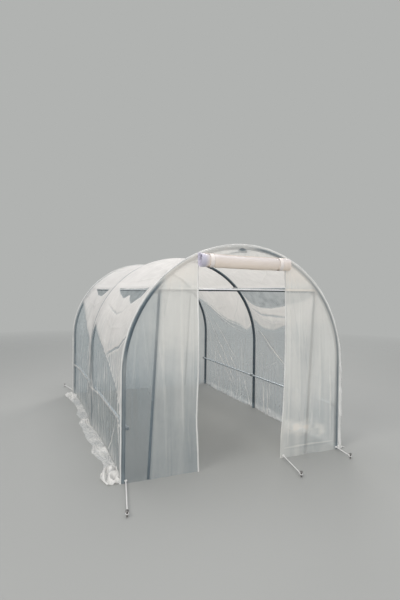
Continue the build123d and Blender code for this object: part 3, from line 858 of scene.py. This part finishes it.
def end_panel(kind, left, right, bottom, seed):
    """Film across a part of an end, from its foot up to the arch; left and right are functions of height."""
    rear = kind == "rear"
    name, node = ("rear_film", "rear_end_sheet") if rear else (f"{kind}_door_panel", f"front_{kind}_panel")
    plane, out = (rear_plane, 1) if rear else (front_plane, -1)
    top = leg_height + skin_radius
    columns = int(round((right(0.8) - left(0.8)) / panel_step)) + 1
    rows = int(round(top / panel_step)) + 1
    across, share = np.meshgrid(np.linspace(0, 1, columns), np.linspace(0, 1, rows), indexing="ij")
    # The edges lean, so a place's height and its place across are found in turn
    z = bottom + (top - bottom) * share
    x = left(z) + (right(z) - left(z)) * across
    z = bottom + (arch_top(x) - bottom) * share
    x = left(z) + (right(z) - left(z)) * across
    z = np.minimum(z, arch_top(x))
    over = np.maximum(z - leg_height, 0)
    radius = np.hypot(x, over)
    loose = eased((hoop_radius - tube_radius - radius) / 0.08)
    small = scattered_folds(
        span(x), span(z), 16, seed + 2, (0.3, 1.1), (0.012, 0.026), (0.001, 0.003), math.pi / 2, 0.12
    )
    folds, painted_fold_light = creases(x, z, panel_folds[kind] + small)
    lift = loose * (folds + 0.005 * field(x, z, 0.18, 0.8, seed) + 0.0012 * field(x, z, 0.06, 0.4, seed + 1))
    # Painted highlights on ridges and fold crests, painted shade in hollows
    milk_and_painted_light = panel_milk_and_painted_light(kind, x, z, seed) + 0.08 * ridges(lift, panel_step) + loose * painted_fold_light
    # The hoop shows dark, but for a painted highlight over the doorway's left half and painted sunlight low
    # on the left leg
    turn = np.arctan2(x, over)
    hoop_top_highlight = eased((0.2 - turn) / 0.2) * eased((turn + 0.85) / 0.15)
    leg_sunlight = eased((leg_height + 0.34 - z) / 0.34) * (x < 0)
    hoop_line = near(radius - hoop_radius, 0.013, 4)
    milk_and_painted_light += hoop_line * (np.where(x < 0, -0.5, -0.36) + 0.7 * hoop_top_highlight + 0.76 * leg_sunlight)
    mesh = grid_mesh(name, places(x, plane + out * lift, z), milk_and_painted_light)
    piece = new_piece(mesh, "end_film", node)
    wide, tall = right(0.0) - left(0.0), arch_top(x).max() - bottom
    edge = np.linspace(left(0.8), right(0.8), 200)


def make_hem(side_name, side):
    """The folded edge of the film beside the doorway."""
    low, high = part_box(f"{side_name}_jamb_hem")
    z = np.linspace(low.z, high.z, 150)
    x = jamb_line(side, z) + side * hem_width / 2 + 0.0012 * wander(z, 0.05, 101 + side)
    y = (low.y + high.y) / 2 + 0.0012 * wander(z, 0.08, 103 + side)
    width = hem_width * (1 + 0.12 * wander(z, 0.1, 105 + side))
    hem = band_part(places(x, y, z), (1.0, 0.0, 0.0), width, high.y - low.y, 10)
    mesh = joined_mesh(f"{side_name}_door_hem", [hem])
    return new_piece(mesh, "hem_film", f"{side_name}_jamb_hem")


def make_end_seams():
    """The welded edge round each end, wide where the cover hangs loose down the door end's right leg."""
    narrow, off_skin = 0.01, 0.0012
    parts = []
    for number, (end, low_width) in enumerate(((-1, 0.032), (1, 0.016))):
        s = np.linspace(-ground_s, ground_s, 420)
        outward, down = skin_frame(s)
        loose = eased((s - spring_s + 0.25) / 0.5)
        width = narrow + (low_width - narrow) * loose + 0.0012 * wander(s, 0.06, 111 + number)
        wave = 0.0025 * wander(s, 0.07, 113 + number) * (1 + 2 * loose)
        y = end * (abs(front_plane) - half_film) + wave
        line = outward * (skin_radius + off_skin + width / 2)[:, None] + places(0, y, leg_height - down)
        parts.append(band_part(line, outward, width, seam_gauge, 10))
    return new_piece(joined_mesh("end_seam_film", parts), "hem_film", "end_seams")


def make_ends():
    hems = {name: make_hem(name, side) for name, side in side_signs.items()}
    seam = make_end_seams()
    straight = lambda value: lambda z: value + 0.0 * z
    left_edge, right_edge = straight(-skin_radius), straight(skin_radius)
    left_jamb, right_jamb = (lambda z, side=side: jamb_line(side, z) for side in side_signs.values())
    end_panel("left", left_edge, left_jamb, 0.0, 61)
    end_panel("right", right_jamb, right_edge, 0.0, 71)
    end_panel("top", straight(-jamb), straight(jamb), door_head, 81)
    end_panel("rear", left_edge, right_edge, 0.0, 91)


# Spare film on the ground

# Heaps of it: place along the tunnel, length and height
skirt_heaps = {
    "left": [(-1.4, 0.15, 0.07), (-0.8, 0.1, 0.018), (0.1, 0.12, 0.022), (1.36, 0.18, 0.045)],
    "right": [(-1.3, 0.12, 0.024), (-0.2, 0.1, 0.02), (0.85, 0.14, 0.026), (1.4, 0.1, 0.02)],
}


def make_skirt(side_name, side):
    """Crumpled film beside the wall's foot, heaped up in a few places."""
    low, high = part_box(f"{side_name}_ground_skirt")
    reach = max(abs(low.x), abs(high.x)) - skin_radius
    columns = int(round((high.y - low.y) / skirt_step)) + 1
    share, y = np.meshgrid(np.linspace(0, 1, 26), np.linspace(low.y, high.y, columns), indexing="ij")
    out = share * reach
    heap = sum(tall * near(y - place, long) for place, long, tall in skirt_heaps[side_name])
    width = reach * (0.55 + 0.22 * wander(y, 0.22, 121 + side) + 7 * heap).clip(0.32, 1.0)
    fold = 0.5 + 0.5 * np.sin(2 * np.pi * (1.8 * share + 1.5 * field(y, share, 0.1, 0.5, 123 + side)))
    small = scattered_folds(
        span(out), span(y), 170, 125 + side, (0.05, 0.3), (0.006, 0.016), (0.002, 0.01), 0.6, 0.9
    )
    crumple = np.abs(creases(out, y, small)[0] * (1 + 18 * heap))
    rise = (0.005 + 0.9 * heap) * fold + crumple + 0.004 * np.abs(field(out, y, 0.04, 0.04, 127))
    rise *= eased(share / 0.1 + 0.25) * (0.3 + 0.7 * eased((1 - share) / 0.25))
    inner = skin_radius - sunk(y) + half_film
    x = side * (inner + (width + sunk(y)) * share + 0.004 * field(y, share, 0.05, 0.3, 129) * share)
    # Whiter where heaped, with painted highlights on ridges and painted shade in hollows
    milk_and_painted_light = 0.62 + 3.0 * heap + 0.16 * field(out, y, 0.08, 0.1, 131) + 0.15 * ridges(rise, skirt_step)
    mesh = grid_mesh(f"{side_name}_skirt_film", places(x, y, 0.0015 + rise), milk_and_painted_light)
    piece = new_piece(mesh, "skirt_film", f"{side_name}_ground_skirt")


# Rolled door

roll_low, roll_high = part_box("door_roll")
roll_radius = (roll_high.y - roll_low.y) / 2
roll_left_z = roll_high.z - roll_hanger
roll_right_z = roll_low.z + roll_radius
tie_places = {name: middle(f"{name}_roll_tie").x for name in side_signs}


def roll_centre(x):
    """The middle of the roll, which sags a little between its ties."""
    share = (x - roll_low.x) / (roll_high.x - roll_low.x)
    z = roll_left_z + (roll_right_z - roll_left_z) * share - roll_sag * np.sin(np.pi * share)
    return (roll_low.y + roll_high.y) / 2 + 0.003 * np.sin(2.5 * np.pi * share), z


def squashed(angle):
    return 1 - roll_squash * np.cos(2 * angle)


def make_roll():
    """The door film, wound up from its foot: down behind the roll, under it, and round and round."""
    hanging, steps_round, columns = 6, 40, 78
    steps = steps_round * roll_turns
    last_turn = 2 * np.pi * roll_turns
    wound = np.concatenate([np.zeros(hanging), np.linspace(0, last_turn, steps)]) / last_turn
    rise = np.concatenate([np.linspace(roll_hanger, 0.008, hanging), np.zeros(steps)])
    share, wound = np.meshgrid(np.linspace(0, 1, columns), wound, indexing="xy")
    angle = wound * last_turn
    outer = eased(1 - wound * roll_turns / 2)
    left = roll_low.x + 0.006 + 0.01 * wander(angle, 1.3, 141) + 0.02 * eased(wound * 3) * (1 - outer)
    right = roll_high.x - 0.006 - 0.008 * np.abs(wander(angle, 1.1, 142))
    x = left + (right - left) * share
    radius = roll_radius - 0.003 + (roll_core - roll_radius) * wound
    radius += 0.0016 * field(x, angle, 0.09, 0.8, 143) + 0.0012 * field(x, angle, 0.03, 0.35, 144)
    pinch = sum(near(x - place, 0.03, 4) for place in tie_places.values())
    radius -= outer * (tie_bite * pinch - 0.005 * np.exp(-(x - roll_low.x) / 0.035))
    radius *= squashed(angle)
    centre_y, centre_z = roll_centre(x)
    y = np.minimum(centre_y + radius * np.cos(angle), roll_high.y - 0.0005)
    z = centre_z - radius * np.sin(angle) + rise[:, None]
    piece = new_piece(grid_mesh("rolled_door", places(x, y, z), 0.9), "door_film", "door_roll")


def make_tie(name, x):
    """A tape down behind the roll, under it and back up over its front to the film."""
    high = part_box(f"{name}_roll_tie")[1]
    centre_y, centre_z = (float(part[0]) for part in roll_centre(np.array([x])))
    angle = np.linspace(0.0, 2 * np.pi * 0.8, 70)
    radius = (roll_radius + 0.0012) * squashed(angle) - tie_bite
    radius[0] = radius[1]
    round_y = centre_y + radius * np.cos(angle)
    round_z = centre_z - radius * np.sin(angle)
    back = min(round_y[0], high.y - 0.001)
    tail_top = min(high.z, centre_z + roll_radius + 0.004)
    tail_z = np.linspace(tail_top, centre_z + 0.01, 14)
    tail_y = high.y - 0.0012 + (back - high.y) * eased((tail_top - tail_z) / (tail_top - tail_z[-1]))
    y = np.concatenate([tail_y, np.minimum(round_y, high.y - 0.001)])
    z = np.concatenate([tail_z, round_z])
    drift = 0.004 * np.sin(np.linspace(0, 3.0, len(y)))
    tape = band_part(places(x + drift, y, z), (1.0, 0.0, 0.0), tape_width, tape_gauge, 14)
    mesh = joined_mesh(f"{name}_door_tape", [tape])
    new_piece(mesh, "tie_webbing", f"{name}_roll_tie")


# Ground ties

# From a knot in the film to a peg, across the tunnel and out from it, for the door end
cord_height = 0.024
cord_radius = 0.0045
cord_pitch = 0.026
corner_knot = 0.985
cord_runs = [
    ((-corner_knot, 1.553), (-1.085, 2.025)),
    ((corner_knot, 1.553), (0.955, 1.775)),
    ((jamb + 0.0075, 1.554), (0.322, 1.933)),
]
cord_runs_at = {"front": (-1, cord_runs), "rear": (1, cord_runs[:2])}
# Pairs of radius and height
peg_profile = [
    (0.0052, 0.0), (0.0055, 0.004), (0.0055, 0.037), (0.007, 0.0385),
    (0.0118, 0.0395), (0.0122, 0.0425), (0.0112, 0.045), (0.007, 0.046),
]


def twisted(start, end):
    """Three strands wound into a cord between two points."""
    length = np.linalg.norm(end - start)
    ahead = (end - start) / length
    side = np.cross(ahead, (0.0, 0.0, 1.0))
    side /= np.linalg.norm(side)
    up = np.cross(side, ahead)
    share = np.linspace(0, 1, int(length / cord_pitch * 10) + 2)[:, None]
    parts = []
    for strand in range(3):
        turn = 2 * np.pi * (share * length / cord_pitch + strand / 3)
        coil = cord_radius * 0.5 * (np.cos(turn) * side + np.sin(turn) * up)
        parts.append(tube_part(start + (end - start) * share + coil, cord_radius * 0.52, 7))
    return parts


def knot(centre, size, radius):
    """An overhand knot, drawn tight."""
    t = np.linspace(0, 2 * np.pi, 90)
    x, y, z = np.sin(t) + 2 * np.sin(2 * t), -0.8 * np.sin(3 * t), np.cos(t) - 2 * np.cos(2 * t)
    return tube_part(centre + places(x, y, z) * size / 3, radius, 8)


def loop(centre, size, radius):
    """Cord round a peg."""
    t = np.linspace(0, 2 * np.pi, 40)
    return tube_part(centre + places(size * np.cos(t), size * np.sin(t), 0.003 * np.sin(t)), radius, 8)


def make_ground_ties():
    for place, (end, runs) in cord_runs_at.items():
        cords, pegs = [], []
        for (knot_x, knot_y), (peg_x, peg_y) in runs:
            start = np.array((knot_x, end * knot_y, cord_height))
            peg_place = np.array((peg_x, end * peg_y, cord_height))
            ahead = (peg_place - start) / np.linalg.norm(peg_place - start)
            cords += twisted(start, peg_place - ahead * 0.01)
            cords.append(knot(start, 0.0085, 0.0032))
            cords.append(knot(peg_place - ahead * 0.022, 0.0075, 0.003))
            cords.append(loop(peg_place, 0.0085, 0.003))
            pegs.append(turned_part(peg_profile, (peg_x, end * peg_y, 0.0)))
        new_piece(joined_mesh(f"{place}_ground_cords", cords), "tie_cord", f"{place}_tie_cords")
        new_piece(joined_mesh(f"{place}_ground_pegs", pegs), "peg_steel", f"{place}_tie_pegs")


def dress_frame():
    """Steel finishes for the CAD nodes that stay as they are."""
    clamps = ("rail_clamps", "purlin_clamp", "corner_fittings")
    dressed = {
        "rail_steel": ["ridge_tube", "left_purlin", "right_purlin", "left_side_rail", "right_side_rail"],
        "frame_steel": ["front_crossbar", "rear_crossbar"],
        "upright_steel": [f"{end}_{side}_upright" for end in ("front", "rear") for side in side_signs],
        "clamp_steel": [f"{place}_crown_joiner" for place in hoop_stations],
    }
    dressed["clamp_steel"] += [f"{side}_{part}" for side in side_signs for part in clamps]
    for finish, names in dressed.items():
        for name in names:
            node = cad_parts[name]
            if not node.material_slots:
                node.data.materials.append(None)
            for place in node.material_slots:
                place.material = finishes[finish]


# Finishes: colours where new, where worn, painted shade underneath, and roughness
steels = {
    # Painted shade: the hoops are kept dark, as if seen against the light
    "hoop_steel": ((0.2, 0.25, 0.28), (0.11, 0.14, 0.16), (0.06, 0.08, 0.1), 0.38),
    # Painted light: the rails are pale, as if lit from above
    "rail_steel": ((0.76, 0.82, 0.86), (0.56, 0.62, 0.66), (0.14, 0.17, 0.2), 0.38, 0.3, 0.25),
    # Painted highlight on the crossbars' tops, painted shade beneath them
    "frame_steel": ((0.96, 0.97, 0.97), (0.84, 0.86, 0.87), (0.04, 0.05, 0.06), 0.4, 0.15, 0.1),
    # Painted shade: the uprights are kept dark, as if seen against the light
    "upright_steel": ((0.2, 0.24, 0.27), (0.13, 0.16, 0.18), (0.1, 0.12, 0.14), 0.38),
    "clamp_steel": ((0.5, 0.52, 0.53), (0.34, 0.36, 0.37), (0.14, 0.15, 0.16), 0.44),
    "peg_steel": ((0.42, 0.42, 0.42), (0.24, 0.22, 0.2), (0.16, 0.15, 0.14), 0.45, 0.8),
}

make_studio()
for steel, looks in steels.items():
    steel_material(steel, *looks)
film_material("cover_film", (0.98, 0.95, 0.92), (0.4, 0.49, 0.54), 0.22, 0.98, gloss=0.42)
film_material("end_film", (0.86, 0.855, 0.82), (0.34, 0.42, 0.47), 0.28, 0.85, chalk_and_painted_light=(0.99, 0.94, 0.87))
film_material("hem_film", (0.99, 0.99, 0.97), (0.99, 0.99, 0.97), 0.9, 0.99, glow=0.15)
film_material("skirt_film", (0.95, 0.94, 0.92), (0.72, 0.76, 0.78), 0.4, 0.96, speckle=0.5)
rolled_material("door_film", (0.67, 0.63, 0.62), (0.99, 0.86, 0.74), (0.7, 0.68, 0.78), 0.045, 0.085)
woven_material("tie_webbing", (0.88, 0.82, 0.79), (0.78, 0.72, 0.67), 260.0)
woven_material("tie_cord", (0.88, 0.88, 0.87), (0.58, 0.57, 0.56), 320.0)
dress_frame()
make_hoops()
make_cover()
make_ends()
for side_name, side in side_signs.items():
    make_skirt(side_name, side)
make_roll()
for tie_name, tie_x in tie_places.items():
    make_tie(tie_name, tie_x)
make_ground_ties()
